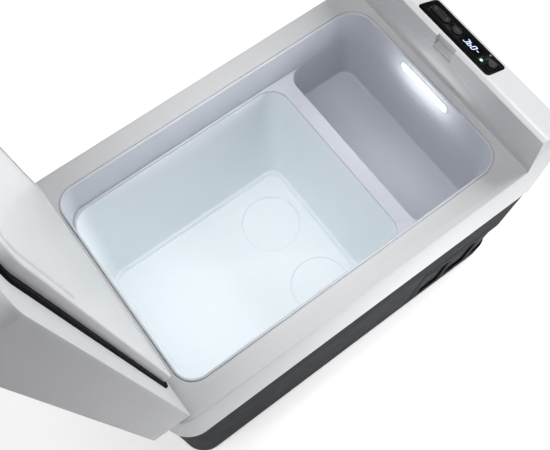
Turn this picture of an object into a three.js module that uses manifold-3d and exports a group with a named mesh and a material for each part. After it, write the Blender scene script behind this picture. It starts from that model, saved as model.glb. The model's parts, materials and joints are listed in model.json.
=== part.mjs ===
// Portable compressor cooler with its lid standing open: a white tub and a dry side compartment in a
// two-tone case, a raised control end, and the refrigeration machine under the side compartment.
// Millimetres, +Z up. The origin is the middle of the case's flat underside; +X runs to the control
// end, the lid is hinged at the -X end, and Y = 0 is the plane the case is symmetric about.
import * as THREE from 'three';
import { mergeVertices } from 'three/addons/utils/BufferGeometryUtils.js';
import Module from 'manifold-3d';

const wasm = await Module();
wasm.setup();

// ---- driving dimensions ------------------------------------------------------------------------
const HALF_LENGTH = 330;       // half the case's length at the rim
const HALF_WIDTH = 190;        // half the case's width at the rim
const RIM_Z = 350;             // top of the flat rim
const SEAM_Z = 227;            // where the light upper case meets the dark lower case
const CORNER = 40;             // plan radius of the case's corners
const WALL = 3;                // wall of the moulded parts
const GAP = 0.4;               // clearance between parts that touch
const PLATE_Z = RIM_Z - 3.5;   // underside of the rim

const OPEN = { x0: -281.6, x1: 227.3, hy: 153.6, r: 26, rEnd: 34 };   // mouth of the case, at the rim
const LEDGE_Z = 290;           // ledge round the tub, and the top of the divider
const DIVIDER = { x0: 78, x1: 100 };
const TUB_FLOOR_Z = 52;
const BOTTLE = { r: 48.8, x: -3.6, ys: [53.6, -82.2] };   // round rests in the tub floor
const SIDE_FLOOR_Z = 195;

const POD_WALL_X = 242.7;      // wall of the control end that faces the lid
const POD_TOP_Z = 420;
const PANEL_X = 255.5;         // upper edge of the sloping control panel
const PANEL_TILT = THREE.MathUtils.degToRad(25);
const PANEL = { s0: 0.8, s1: 45, hy: 69.5, r: 6 };        // s runs down the slope from PANEL_X

const HINGE = { x: -311.2, z: 368, ys: [-110, 110] };     // lid hinge, an axis along Y
const LID_OPEN = THREE.MathUtils.degToRad(95);
const LID = { x0: -323, x1: 240.5, hy: 185, z0: 354, z1: 405 };   // the lid when shut
const PLUG = { x0: -273, x1: 219, hy: 150, r: 20, z: 344 };       // inner liner, lid shut
const LATCH_PIVOT = { x: 226, z: 371 };

const VENT = { x: 128, pitch: 57, width: 44, top: 104, bottom: 28, lean: 9, count: 3 };
const FAN = { x: 186, y: -152, z: 66, r: 37 };
const COMPRESSOR = { x: 150, y: 48, r: 58 };
const GROMMETS = [[100, -12], [100, 108], [200, -12], [200, 108]];
const HANDLE = { x: 341, z: 304, leg: 103, pivot: 84, drop: 52, r: 5.5 };
const FEET = [[-270, -130], [-270, 130], [228, -130], [228, 130]];
const INLET = { y: 96, z: 150, hy: 33, hz: 17 };

// ---- building blocks ---------------------------------------------------------------------------
const object = new THREE.Group();
const lid = new THREE.Group();       // holds the lid's parts, drawn shut and turned open
object.add(lid);

function finish(color, roughness, metalness = 0) {
  return new THREE.MeshStandardMaterial({ color, roughness, metalness });
}
const light = finish(0xc9cace, 0.45);
const slate = finish(0x3d3f46, 0.6);
const collarGrey = finish(0xb4b7c0, 0.5);
const tubWhite = finish(0xe3ecf2, 0.3);
const gloss = finish(0x141416, 0.15);
const blackPlastic = finish(0x1c1d1f, 0.55);
const rubber = finish(0x26272a, 0.85);
const foamYellow = finish(0xe2d3a2, 0.9);
const steel = finish(0xb9bcc0, 0.35, 0.9);
const aluminium = finish(0xc8cbd0, 0.4, 0.9);
const copper = finish(0xb8734a, 0.35, 0.9);
const blackPaint = finish(0x18191b, 0.4, 0.3);
const boardGreen = finish(0x1f5b3a, 0.6);
const lensClear = finish(0xf4f7fb, 0.2);

function add(name, shape, material, group = object) {
  const mesh = new THREE.Mesh(shape.isBufferGeometry ? shape : toGeometry(shape), material);
  mesh.name = name;
  group.add(mesh);
  return mesh;
}

function toSolid(geometry) {
  const bare = geometry.index ? geometry.toNonIndexed() : geometry.clone();
  for (const key of Object.keys(bare.attributes)) if (key !== 'position') bare.deleteAttribute(key);
  const merged = mergeVertices(bare, 1e-4);
  return new wasm.Manifold(new wasm.Mesh({
    numProp: 3,
    vertProperties: new Float32Array(merged.attributes.position.array),
    triVerts: new Uint32Array(merged.index.array),
  }));
}

function toGeometry(solid) {
  const mesh = solid.getMesh();
  const geometry = new THREE.BufferGeometry();
  geometry.setAttribute('position', new THREE.BufferAttribute(mesh.vertProperties, 3));
  geometry.setIndex(new THREE.BufferAttribute(mesh.triVerts, 1));
  return geometry;
}

function join(first, ...others) {
  return others.reduce((sum, next) => sum.add(next), first);
}

function cut(first, ...others) {
  return others.reduce((rest, next) => rest.subtract(next), first);
}

function box(x0, x1, y0, y1, z0, z1) {
  const geometry = new THREE.BoxGeometry(x1 - x0, y1 - y0, z1 - z0);
  return toSolid(geometry.translate((x0 + x1) / 2, (y0 + y1) / 2, (z0 + z1) / 2));
}

// A cylinder from one point to another.
function rod(from, to, r, sides = 20) {
  const a = new THREE.Vector3(...from);
  const b = new THREE.Vector3(...to);
  const along = b.clone().sub(a);
  const geometry = new THREE.CylinderGeometry(r, r, along.length(), sides);
  geometry.applyQuaternion(new THREE.Quaternion().setFromUnitVectors(
    new THREE.Vector3(0, 1, 0), along.normalize()));
  const middle = a.add(b).multiplyScalar(0.5);
  return toSolid(geometry.translate(middle.x, middle.y, middle.z));
}

// A turned part: [radius, height] pairs, standing on Z at (x, y).
function turned(pairs, x, y, sides = 28) {
  const points = pairs.map(([r, z]) => new THREE.Vector2(r, z));
  return toSolid(new THREE.LatheGeometry(points, sides).rotateX(Math.PI / 2).translate(x, y, 0));
}

// Corner points of a rectangle with rounded corners; `r` may differ at the -X and +X ends.
function outline({ x0, x1, hy, r, rEnd = r }, steps) {
  const corners = [[x1, hy, rEnd, 0], [x0, hy, r, 1], [x0, -hy, r, 2], [x1, -hy, rEnd, 3]];
  return corners.flatMap(([x, y, radius, quarter]) => {
    const cx = x === x1 ? x - radius : x + radius;
    const cy = y - Math.sign(y) * radius;
    return Array.from({ length: steps + 1 }, (_, k) => {
      const angle = (quarter + k / steps) * Math.PI / 2;
      return [cx + radius * Math.cos(angle), cy + radius * Math.sin(angle)];
    });
  });
}

// A closed body skinned over rounded rectangles stacked along Z.
function loft(rings, steps = 5) {
  const loops = rings.map((ring) => outline(ring, steps).map(([x, y]) => [x, y, ring.z]));
  const n = loops[0].length;
  const positions = [];
  const face = (...corners) => corners.forEach((corner) => positions.push(...corner));
  for (let i = 1; i < n - 1; i += 1) {
    face(loops[0][0], loops[0][i + 1], loops[0][i]);
    face(loops.at(-1)[0], loops.at(-1)[i], loops.at(-1)[i + 1]);
  }
  for (let k = 0; k + 1 < loops.length; k += 1) {
    for (let i = 0; i < n; i += 1) {
      const j = (i + 1) % n;
      face(loops[k][i], loops[k][j], loops[k + 1][j]);
      face(loops[k][i], loops[k + 1][j], loops[k + 1][i]);
    }
  }
  const geometry = new THREE.BufferGeometry();
  geometry.setAttribute('position', new THREE.Float32BufferAttribute(positions, 3));
  return toSolid(geometry);
}

function grown(rings, by) {
  return rings.map((ring) => ({
    ...ring, x0: ring.x0 - by, x1: ring.x1 + by, hy: ring.hy + by,
    r: Math.max(0.8, ring.r + by), rEnd: Math.max(0.8, (ring.rEnd ?? ring.r) + by),
  }));
}

// The outline at height z, held constant beyond the ends of the stack.
function ringAt(rings, z) {
  const above = rings.findIndex((ring) => ring.z >= z);
  if (above <= 0) return { ...(above === 0 ? rings[0] : rings.at(-1)), z };
  const [a, b] = [rings[above - 1], rings[above]];
  const t = (z - a.z) / (b.z - a.z);
  const mix = (key) => a[key] + (b[key] - a[key]) * t;
  const rEnd = (a.rEnd ?? a.r) + ((b.rEnd ?? b.r) - (a.rEnd ?? a.r)) * t;
  return { z, x0: mix('x0'), x1: mix('x1'), hy: mix('hy'), r: mix('r'), rEnd };
}

// The part of a stack of outlines from z0 to z1.
function between(rings, z0, z1) {
  return [ringAt(rings, z0), ...rings.filter(({ z }) => z > z0 && z < z1), ringAt(rings, z1)];
}

function slab(plan, z0, z1, steps) {
  return loft([{ ...plan, z: z0 }, { ...plan, z: z1 }], steps);
}

// A profile in the XZ plane, given as [x, z] points, extended along Y from y0 to y1.
function prism(points, y0, y1) {
  const shape = new THREE.Shape(points.map(([x, z]) => new THREE.Vector2(x, z)));
  const geometry = new THREE.ExtrudeGeometry(shape, { depth: y1 - y0, bevelEnabled: false });
  return toSolid(geometry.rotateX(Math.PI / 2).translate(0, y1, 0));
}

// A round bar that follows a path of straight runs with rounded corners.
function bent(points, bend, r, sides = 10, steps = 40) {
  const path = new THREE.CurvePath();
  let from = new THREE.Vector3(...points[0]);
  for (let k = 1; k < points.length; k += 1) {
    const corner = new THREE.Vector3(...points[k]);
    if (k === points.length - 1) {
      path.add(new THREE.LineCurve3(from, corner));
      break;
    }
    const next = new THREE.Vector3(...points[k + 1]);
    const before = corner.clone().add(from.clone().sub(corner).setLength(bend));
    const after = corner.clone().add(next.sub(corner).setLength(bend));
    path.add(new THREE.LineCurve3(from, before));
    path.add(new THREE.QuadraticBezierCurve3(before, corner, after));
    from = after;
  }
  const section = new THREE.Shape();
  section.absarc(0, 0, r, 0, 2 * Math.PI);
  const options = { extrudePath: path, steps, curveSegments: sides / 2, bevelEnabled: false };
  return new THREE.ExtrudeGeometry(section, options);
}

// ---- case --------------------------------------------------------------------------------------
const lowerRings = [
  { z: 0, x0: -317, x1: 276, hy: 179, r: 32 },
  { z: 6, x0: -322, x1: 283, hy: 184, r: 36 },
  { z: 90, x0: -324, x1: 305, hy: 185, r: 37 },
  { z: 200, x0: -327, x1: 321, hy: 187, r: 38 },
  { z: SEAM_Z - GAP, x0: -327.5, x1: 323.5, hy: 187.5, r: 38 },
];
const upperRings = [
  { z: SEAM_Z, x0: -HALF_LENGTH, x1: 327, hy: HALF_WIDTH, r: CORNER },
  { z: 300, x0: -HALF_LENGTH, x1: 329.5, hy: HALF_WIDTH, r: CORNER },
  { z: 344, x0: -HALF_LENGTH, x1: HALF_LENGTH, hy: HALF_WIDTH, r: CORNER },
  { z: 348.4, x0: -328.8, x1: 328.8, hy: 188.8, r: 38.8 },
  { z: RIM_Z, x0: -326.5, x1: 326.5, hy: 186.5, r: 36.5 },
];

function ventBay(index) {
  const left = VENT.x + index * VENT.pitch;
  const right = left + VENT.width;
  return [[left, VENT.top], [left - VENT.lean, VENT.bottom],
    [right - VENT.lean, VENT.bottom], [right, VENT.top]];
}

function lowerCase() {
  const floor = 5;
  let shell = loft(lowerRings).subtract(loft(grown(between(lowerRings, floor, SEAM_Z + 1), -WALL)));
  for (let index = 0; index < VENT.count; index += 1) {
    const bay = ventBay(index);
    shell = cut(shell, prism(bay, -HALF_WIDTH, -175), prism(bay, 175, HALF_WIDTH));
  }
  const inlet = box(290, 330, INLET.y - INLET.hy - GAP, INLET.y + INLET.hy + GAP,
    INLET.z - INLET.hz - GAP, INLET.z + INLET.hz + GAP);
  return cut(shell, inlet, ...FEET.map(([x, y]) => rod([x, y, -1], [x, y, 2.4], 18.4)));
}

// Profile of the raised control end, shrunk by `inset` for its hollow.
function podProfile(inset) {
  const base = inset ? PLATE_Z - 6 : RIM_Z - 5;
  const drop = Math.sin(PANEL_TILT) / Math.cos(PANEL_TILT);
  const slopeZ = (x) => POD_TOP_Z - (x - PANEL_X) * drop - inset * 1.1;
  return [[POD_WALL_X + inset, base], [POD_WALL_X + inset, RIM_Z],
    [245 + inset, 414 - inset], [246.8 + inset * 0.7, 418.4 - inset],
    [250 + inset * 0.4, POD_TOP_Z - inset],
    [PANEL_X, POD_TOP_Z - inset * 1.1], [298.5 - inset * 0.6, slopeZ(298.5 - inset * 0.6)],
    [303 - inset, 396.5 - inset], [322 - inset, 360], [328.6 - inset * 0.8, RIM_Z - 2],
    [328.6 - inset * 0.8, base]];
}

const podPlan = [
  { z: RIM_Z - 12, x0: -HALF_LENGTH, x1: HALF_LENGTH, hy: HALF_WIDTH, r: 30, rEnd: CORNER },
  { z: 352, x0: -HALF_LENGTH, x1: 327, hy: 189.4, r: 30, rEnd: CORNER },
  { z: 400, x0: -HALF_LENGTH, x1: 305, hy: 186, r: 30, rEnd: 38 },
  { z: 414, x0: -HALF_LENGTH, x1: 300, hy: 183, r: 30, rEnd: 36 },
  { z: POD_TOP_Z + 1, x0: -HALF_LENGTH, x1: 297, hy: 177, r: 30, rEnd: 32 },
];

// Places a solid drawn on the panel, x down the slope and z out of it, onto the control end.
function onPanel(solid) {
  const geometry = toGeometry(solid).rotateY(PANEL_TILT).translate(PANEL_X, 0, POD_TOP_Z);
  return toSolid(geometry);
}

const PILL = { s: 25, y: 44, hs: 8, hy: 17.5 };
const ROUND = { s: 24.5, y: 11, r: 8 };
const POWER = { s: 26.7, y: -56.4, r: 7.5 };
const WINDOW = { s0: 14, s1: 36, y0: -36, y1: -2 };
const LAMP = { s: 17.3, y: -44, r: 2 };

function panelOpenings(z0, z1, play) {
  const hs = PILL.hs + play;
  const pill = { x0: PILL.s - hs, x1: PILL.s + hs, hy: PILL.hy + play, r: hs };
  return [
    slab(pill, z0, z1).translate([0, PILL.y, 0]),
    rod([ROUND.s, ROUND.y, z0], [ROUND.s, ROUND.y, z1], ROUND.r + play),
    rod([POWER.s, POWER.y, z0], [POWER.s, POWER.y, z1], POWER.r + play),
    rod([LAMP.s, LAMP.y, z0], [LAMP.s, LAMP.y, z1], LAMP.r + play, 12),
  ];
}

const SEAT = 2.4;     // depth of the seat that the control panel drops into

function upperCase() {
  const skin = loft(upperRings);
  const pod = prism(podProfile(0), -HALF_WIDTH, HALF_WIDTH).intersect(loft(podPlan));
  const hollow = loft(grown(between(upperRings, SEAM_Z - 1, PLATE_Z), -WALL));
  const podHollow = prism(podProfile(5), -182, 182).intersect(loft(grown(podPlan, -6)));
  const mouth = slab(OPEN, PLATE_Z - 6, RIM_Z + 1, 8);
  const pocketBoss = box(245, 258, -20.5, 20.5, 389, 411).subtract(
    prism([[255, 420], [262, 380], [262, 420]], -30, 30));
  const pocket = prism([[238, 402.6], [253.5, 400.2], [249.6, 421], [238, 421]], -17, 17);
  const slot = prism([[238, 394.5], [252.4, 394.5], [252.4, 398.2], [238, 400.8]], -17, 17);
  const seatPlan = { x0: PANEL.s0 - 0.3, x1: PANEL.s1 + 0.3, hy: PANEL.hy + 0.3, r: PANEL.r };
  const seat = onPanel(slab(seatPlan, -SEAT, 6));
  const stems = panelOpenings(-8, 1, 0.4).map(onPanel);
  const openWindow = onPanel(box(WINDOW.s0 + 2, WINDOW.s1 - 2, WINDOW.y0 + 2, WINDOW.y1 - 2, -8, 1));
  const shell = cut(join(skin, pod), hollow, podHollow, mouth);
  return cut(join(shell, pocketBoss), pocket, slot, seat, openWindow, ...stems);
}

add('lower_casing', lowerCase(), slate);
add('upper_casing', upperCase(), light);
FEET.forEach(([x, y]) => {
  const name = `foot_${x < 0 ? 'left' : 'right'}_${y < 0 ? 'near' : 'far'}`;
  add(name, turned([[0, -3], [16.5, -3], [18, -1.5], [18, 2], [0, 2]], x, y, 20), rubber);
});

// ---- inner frame: collar, ledge, divider and side compartment ----------------------------------
const sideVoid = [
  { z: SIDE_FLOOR_Z, x0: 97, x1: 223, hy: 151.7, r: 20, rEnd: 22 },
  { z: LEDGE_Z, x0: DIVIDER.x1, x1: 225.6, hy: 152.6, r: 26, rEnd: 30 },
  { z: PLATE_Z - GAP + 1, x0: DIVIDER.x1, x1: OPEN.x1, hy: OPEN.hy, r: 26, rEnd: OPEN.rEnd },
];
const LIGHT = { y0: -51.6, y1: 50.1, z: 332, hz: 9.6 };

function innerFrame() {
  const top = PLATE_Z - GAP;
  const collar = slab(grown([OPEN], WALL)[0], LEDGE_Z - 3.5, top, 8);
  const bin = loft(grown(between(sideVoid, SIDE_FLOOR_Z - WALL, top), WALL));
  const mouth = loft([
    { z: LEDGE_Z, x0: OPEN.x0 + 1, x1: 225.6, hy: 152.6, r: 25, rEnd: 30 }, { ...OPEN, z: top + 1 }], 8);
  const tubHole = slab({ x0: -279.5, x1: DIVIDER.x0, hy: 149, r: 30 }, LEDGE_Z - 5, LEDGE_Z + 1, 8);
  const lampHole = box(224, 232, LIGHT.y0 - GAP, LIGHT.y1 + GAP, LIGHT.z - LIGHT.hz - GAP,
    LIGHT.z + LIGHT.hz + GAP);
  return cut(join(collar, bin), mouth, loft(sideVoid), tubHole, lampHole);
}
add('inner_frame', innerFrame(), collarGrey);

add('light_lens', box(226.2, 229.6, LIGHT.y0, LIGHT.y1, LIGHT.z - LIGHT.hz, LIGHT.z + LIGHT.hz), lensClear);
add('light_board', box(230.6, 232.2, LIGHT.y0 - 4, LIGHT.y1 + 4, LIGHT.z - 7, LIGHT.z + 7), boardGreen);

// ---- tub, evaporator and insulation ------------------------------------------------------------
const tubTop = LEDGE_Z - 3.5 - 0.3;
const tubVoid = [
  { z: TUB_FLOOR_Z, x0: -272.3, x1: 63.8, hy: 133, r: 22 },
  { z: TUB_FLOOR_Z + 4, x0: -273.8, x1: 65.3, hy: 134.5, r: 24 },
  { z: tubTop + 1, x0: -279, x1: 77.4, hy: 148.4, r: 29.5 },
];

function freezerTub() {
  const outer = loft(grown(between(tubVoid, TUB_FLOOR_Z - 5.5, tubTop), 2.5));
  const flange = slab({ x0: -284, x1: 88, hy: 155, r: 35 }, tubTop - 2.5, tubTop);
  const rests = BOTTLE.ys.map((y) => rod(
    [BOTTLE.x, y, TUB_FLOOR_Z - 3], [BOTTLE.x, y, TUB_FLOOR_Z + 1], BOTTLE.r, 40));
  return cut(join(outer, flange), loft(tubVoid), ...rests);
}
add('freezer_tub', freezerTub(), tubWhite);

const JACKET = { z0: 96, z1: 270, inner: 3.1, outer: 5.2 };
add('evaporator_plate', cut(loft(grown(between(tubVoid, JACKET.z0, JACKET.z1), JACKET.outer)),
  loft(grown(between(tubVoid, JACKET.z0 - 1, JACKET.z1 + 1), JACKET.inner))), aluminium);

function insulation() {
  const block = loft([
    { z: 8, x0: -312, x1: 83.4, hy: 178, r: 30, rEnd: 4 },
    { z: 90, x0: -318, x1: 83.4, hy: 180, r: 32, rEnd: 4 },
    { z: 176, x0: -320, x1: 83.4, hy: 182, r: 33, rEnd: 4 },
    { z: 190, x0: -320, x1: 93.4, hy: 182, r: 33, rEnd: 4 },
    { z: 226, x0: -321, x1: 93.4, hy: 183, r: 34, rEnd: 4 },
    { z: 345.8, x0: -322, x1: 93.4, hy: 182, r: 36, rEnd: 4 },
  ]);
  const tubSpace = loft(grown(between(tubVoid, TUB_FLOOR_Z - 6.2, LEDGE_Z), JACKET.outer + 0.8));
  const collarSpace = slab({ x0: -285.4, x1: 120, hy: OPEN.hy + WALL + 0.6, r: 29 }, LEDGE_Z - 7, 350);
  return cut(block, tubSpace, collarSpace);
}
add('insulation_foam', insulation(), foamYellow);

// ---- control end -------------------------------------------------------------------------------
function controlPanel() {
  const plan = { x0: PANEL.s0, x1: PANEL.s1, hy: PANEL.hy, r: PANEL.r };
  const hole = box(WINDOW.s0 - 0.3, WINDOW.s1 + 0.3, WINDOW.y0 - 0.3, WINDOW.y1 + 0.3, -3, 1);
  return onPanel(cut(slab(plan, -SEAT + 0.3, 0), hole, ...panelOpenings(-4, 1, 0.4)));
}
add('control_panel', controlPanel(), gloss);
add('display_window', onPanel(box(WINDOW.s0, WINDOW.s1, WINDOW.y0, WINDOW.y1, -SEAT + 0.3, -0.1)), gloss);
add('status_lamp', onPanel(rod([LAMP.s, LAMP.y, -4.5], [LAMP.s, LAMP.y, 0.1], LAMP.r, 12)), lensClear);

const rockerHalf = PILL.hs - 0.3;
const rocker = [
  { z: -4.6, x0: PILL.s - rockerHalf, x1: PILL.s + rockerHalf, hy: PILL.hy - 0.6, r: rockerHalf },
  { z: 0.6, x0: PILL.s - rockerHalf, x1: PILL.s + rockerHalf, hy: PILL.hy - 0.6, r: rockerHalf },
];
const rockerTop = { ...grown(rocker, -1)[1], z: 1.5 };
add('rocker_button', onPanel(loft([...rocker, rockerTop]).translate([0, PILL.y, 0])), blackPlastic);

function roundButton({ s, y, r }) {
  return onPanel(turned([[0, -5], [r, -5], [r, 0.6], [r - 1, 1.4], [0, 1.4]], s, y, 24));
}
add('menu_button', roundButton(ROUND), blackPlastic);
add('power_button', roundButton(POWER), blackPlastic);
add('control_board', onPanel(box(9, 40, -66, 66, -10, -8.4)), boardGreen);

// ---- lid, drawn shut ---------------------------------------------------------------------------
lid.position.set(HINGE.x, 0, HINGE.z);
lid.rotation.y = -LID_OPEN;
const shut = new THREE.Group();
shut.position.set(-HINGE.x, 0, -HINGE.z);
lid.add(shut);

const lidRings = [
  { z: LID.z0, x0: LID.x0 + 2, x1: LID.x1, hy: LID.hy, r: 4, rEnd: 24 },
  { z: LID.z0 + 2, x0: LID.x0, x1: LID.x1, hy: LID.hy, r: 4, rEnd: 24 },
  { z: LID.z1 - 7, x0: LID.x0 + 7, x1: LID.x1 - 0.4, hy: LID.hy, r: 5, rEnd: 24 },
  { z: LID.z1 - 2, x0: LID.x0 + 9, x1: LID.x1 - 2, hy: LID.hy - 1.6, r: 6, rEnd: 23 },
  { z: LID.z1, x0: LID.x0 + 13, x1: LID.x1 - 6, hy: LID.hy - 5, r: 8, rEnd: 22 },
  { z: LID.z1 + 3, x0: LID.x0 + 60, x1: LID.x1 - 52, hy: LID.hy - 50, r: 10, rEnd: 12 },
];
const gasketSeat = { x0: PLUG.x0 - 7, x1: PLUG.x1 + 7, hy: PLUG.hy + 7, r: PLUG.r + 7 };
const NOTCH_HALF = 13.5;
const PIN_HALF = 20;

function lidShell() {
  const outer = loft(lidRings);
  const hollow = loft(grown(between(lidRings.slice(1, 5), LID.z0 + WALL, LID.z1 - WALL), -WALL));
  const hole = slab(gasketSeat, LID.z0 - 1, LID.z0 + WALL + 1, 8);
  const bossHalf = NOTCH_HALF + 9;
  const bosses = HINGE.ys.map((y) => box(LID.x0 - 5, -296, y - bossHalf, y + bossHalf, LID.z0, 384));
  const latchBoss = box(216, 245, -20, 20, LATCH_PIVOT.z - 10, LID.z1 + 1);
  const notches = HINGE.ys.flatMap((y) => [
    box(LID.x0 - 10, -299, y - NOTCH_HALF, y + NOTCH_HALF, LID.z0 - 5, 381),
    rod([HINGE.x, y - PIN_HALF - 0.5, HINGE.z], [HINGE.x, y + PIN_HALF + 0.5, HINGE.z], 3.4),
  ]);
  const pocket = box(219, 246, -17, 17, LATCH_PIVOT.z - 7, LID.z1 + 5);
  const { x, z } = LATCH_PIVOT;
  const pinHole = rod([x, -19.5, z], [x, 19.5, z], 2.3, 16);
  const blocks = join(latchBoss, ...bosses).intersect(outer);
  return cut(join(cut(outer, hollow, hole), blocks), pocket, pinHole, ...notches);
}
add('lid_shell', lidShell(), light, shut);

function lidLiner() {
  const top = LID.z0 + WALL + 0.5;
  const plug = loft([
    { ...PLUG, z: PLUG.z, x0: PLUG.x0 + 3, x1: PLUG.x1 - 3, hy: PLUG.hy - 3, r: PLUG.r - 3 },
    { ...PLUG, z: PLUG.z + 1, x0: PLUG.x0 + 1, x1: PLUG.x1 - 1, hy: PLUG.hy - 1, r: PLUG.r - 1 },
    { ...PLUG, z: PLUG.z + 4 }, { ...PLUG, z: top + 1 }]);
  const pad = { z: PLUG.z + 2, x0: 87, x1: PLUG.x1 - 6, hy: PLUG.hy - 6, r: 12 };
  const sidePad = loft([{ ...grown([pad], -3)[0], z: PLUG.z - 4 }, pad]);
  const flange = slab({ x0: PLUG.x0 - 21, x1: PLUG.x1 + 12, hy: PLUG.hy + 18, r: 30 }, top, top + 2);
  const hollow = slab({ x0: PLUG.x0 + WALL, x1: PLUG.x1 - WALL, hy: PLUG.hy - WALL, r: PLUG.r - WALL },
    PLUG.z + WALL, top + 3);
  return cut(join(plug, sidePad, flange), hollow);
}
add('lid_liner', lidLiner(), light, shut);

const gasketPlan = { x0: PLUG.x0 - 6.6, x1: PLUG.x1 + 6.6, hy: PLUG.hy + 6.6, r: PLUG.r + 6.6 };
const gasketHole = { x0: PLUG.x0 - 0.4, x1: PLUG.x1 + 0.4, hy: PLUG.hy + 0.4, r: PLUG.r + 0.4 };
add('lid_gasket', cut(slab(gasketPlan, RIM_Z + 0.8, LID.z0 + WALL, 8),
  slab(gasketHole, RIM_Z, LID.z0 + WALL + 1, 8)), rubber, shut);
add('lid_foam', join(
  slab({ x0: PLUG.x0 + 4, x1: PLUG.x1 - 4, hy: PLUG.hy - 4, r: PLUG.r - 4 }, PLUG.z + WALL + 0.5, 362),
  slab({ x0: -294, x1: 212, hy: 174, r: 12 }, 360.2, LID.z1 - WALL - 0.6)), foamYellow, shut);

// ---- lid hinge ---------------------------------------------------------------------------------
HINGE.ys.forEach((y) => {
  const side = y < 0 ? 'near' : 'far';
  const half = NOTCH_HALF - 1;
  const base = box(-322, -300, y - half, y + half, RIM_Z + 0.3, RIM_Z + 2.3);
  const post = box(HINGE.x - 8, HINGE.x + 8, y - half, y + half, RIM_Z + 1, HINGE.z);
  const eye = rod([HINGE.x, y - half, HINGE.z], [HINGE.x, y + half, HINGE.z], 8);
  const bore = rod([HINGE.x, y - 20, HINGE.z], [HINGE.x, y + 20, HINGE.z], 3.4);
  add(`hinge_bracket_${side}`, cut(join(base, post, eye), bore), slate);
  add(`hinge_pin_${side}`, rod([HINGE.x, y - PIN_HALF, HINGE.z], [HINGE.x, y + PIN_HALF, HINGE.z], 3), steel);
});

// ---- latch -------------------------------------------------------------------------------------
function latchLever() {
  const paddle = prism([[221.5, 367], [230.5, 367], [236.5, 384], [238, 394.8], [243.4, 395.4],
    [243.4, 398.2], [238.2, 399.2], [238, 404], [231.5, 404], [229.5, 386], [221.5, 375]], -15, 9);
  const { x, z } = LATCH_PIVOT;
  return cut(paddle, rod([x, -20, z], [x, 20, z], 2.4, 16));
}
add('latch_lever', latchLever(), slate, shut);
const pinEnds = [-19, 19].map((y) => [LATCH_PIVOT.x, y, LATCH_PIVOT.z]);
add('latch_pin', rod(...pinEnds, 2, 16), steel, shut);

class CoilCurve extends THREE.Curve {
  constructor(centre, radius, y0, y1, turns) {
    super();
    Object.assign(this, { centre, radius, y0, y1, turns });
  }

  getPoint(t, target = new THREE.Vector3()) {
    const angle = 2 * Math.PI * this.turns * t;
    return target.set(this.centre.x + this.radius * Math.cos(angle), this.y0 + (this.y1 - this.y0) * t,
      this.centre.z + this.radius * Math.sin(angle));
  }
}
const wire = new THREE.Shape();
wire.absarc(0, 0, 0.6, 0, 2 * Math.PI);
add('latch_spring', toSolid(new THREE.ExtrudeGeometry(wire, {
  extrudePath: new CoilCurve(LATCH_PIVOT, 3.4, 10.2, 16, 3), steps: 27, curveSegments: 3, bevelEnabled: false,
})), steel, shut);
add('latch_strike', box(249.9, 251.9, -16, 16, 394.9, 397.4), steel);

// ---- refrigeration machine ---------------------------------------------------------------------
add('mounting_plate', box(92, 268, -96, 118, 5.8, 7.8), steel);
GROMMETS.forEach(([x, y], k) => {
  const profile = [[0, 8.1], [8, 8.1], [8, 12], [5.5, 14], [8, 16], [8, 20], [0, 20]];
  add(`compressor_grommet_${k + 1}`, turned(profile, x, y, 12), rubber);
});

function compressor() {
  const { x, y, r } = COMPRESSOR;
  const dome = turned([[0, 21], [r - 8, 21], [r, 34], [r, 100], [r - 6, 120], [r - 24, 133], [0, 138]], x, y);
  return join(dome, box(88, 212, -22, 118, 20.3, 22.5));
}
add('compressor', compressor(), blackPaint);

function electronics() {
  const fins = Array.from({ length: 7 }, (_, k) => box(258, 264, 16 + 12 * k, 20 + 12 * k, 14, 58));
  return join(box(222, 259, 10, 98, 12, 60), ...fins);
}
add('electronics_module', electronics(), blackPlastic);

function condenser() {
  const slots = Array.from({ length: 10 }, (_, k) => {
    const x = 145.5 + 8 * k;
    return [box(x, x + 6, -140, -124, 14, 124), box(x, x + 6, -116, -100, 14, 124)];
  }).flat();
  return cut(box(142, 230, -134, -104, 10, 128), ...slots);
}
add('condenser', condenser(), aluminium);

function fanFrame() {
  const hub = rod([FAN.x, -165, FAN.z], [FAN.x, -160, FAN.z], 15);
  const struts = [0, 1, 2, 3].map((k) => {
    const bar = new THREE.BoxGeometry(46, 4, 5).translate(23, 0, 0).rotateY(Math.PI / 4 + k * Math.PI / 2);
    return toSolid(bar.translate(FAN.x, -163, FAN.z));
  });
  const ring = cut(box(FAN.x - 46, FAN.x + 46, -165, -139.5, FAN.z - 46, FAN.z + 46),
    rod([FAN.x, -170, FAN.z], [FAN.x, -130, FAN.z], FAN.r + 4, 40));
  return join(ring, hub, ...struts);
}
add('fan_frame', fanFrame(), blackPlastic);

function fanRotor() {
  const blades = Array.from({ length: 7 }, (_, k) => {
    const blade = new THREE.BoxGeometry(FAN.r - 12, 2.2, 17).rotateX(0.6).translate((FAN.r + 12) / 2, 0, 0);
    return toSolid(blade.rotateY(k * 2 * Math.PI / 7).translate(FAN.x, -149.5, FAN.z));
  });
  return join(rod([FAN.x, -158, FAN.z], [FAN.x, -142, FAN.z], 15), ...blades);
}
add('fan_rotor', fanRotor(), blackPlastic);

function ventGrille(side) {
  const skin = cut(loft(grown(lowerRings, -WALL - 0.4)), loft(grown(lowerRings, -WALL - 2.6)));
  const near = side < 0;
  const region = box(114, 296, near ? -190 : 164, near ? -164 : 190, 18, 114);
  const slots = [];
  for (let z = VENT.bottom; z < VENT.top - 6; z += 11) {
    const shift = VENT.lean * (VENT.top - z) / (VENT.top - VENT.bottom);
    for (let index = 0; index < VENT.count; index += 1) {
      const x = VENT.x + index * VENT.pitch - shift;
      slots.push(box(x, x + VENT.width, near ? -190 : 120, near ? -120 : 190, z + 1.5, z + 7.5));
    }
  }
  return cut(skin.intersect(region), ...slots);
}
add('vent_grille_near', ventGrille(-1), blackPlastic);
add('vent_grille_far', ventGrille(1), blackPlastic);

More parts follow.
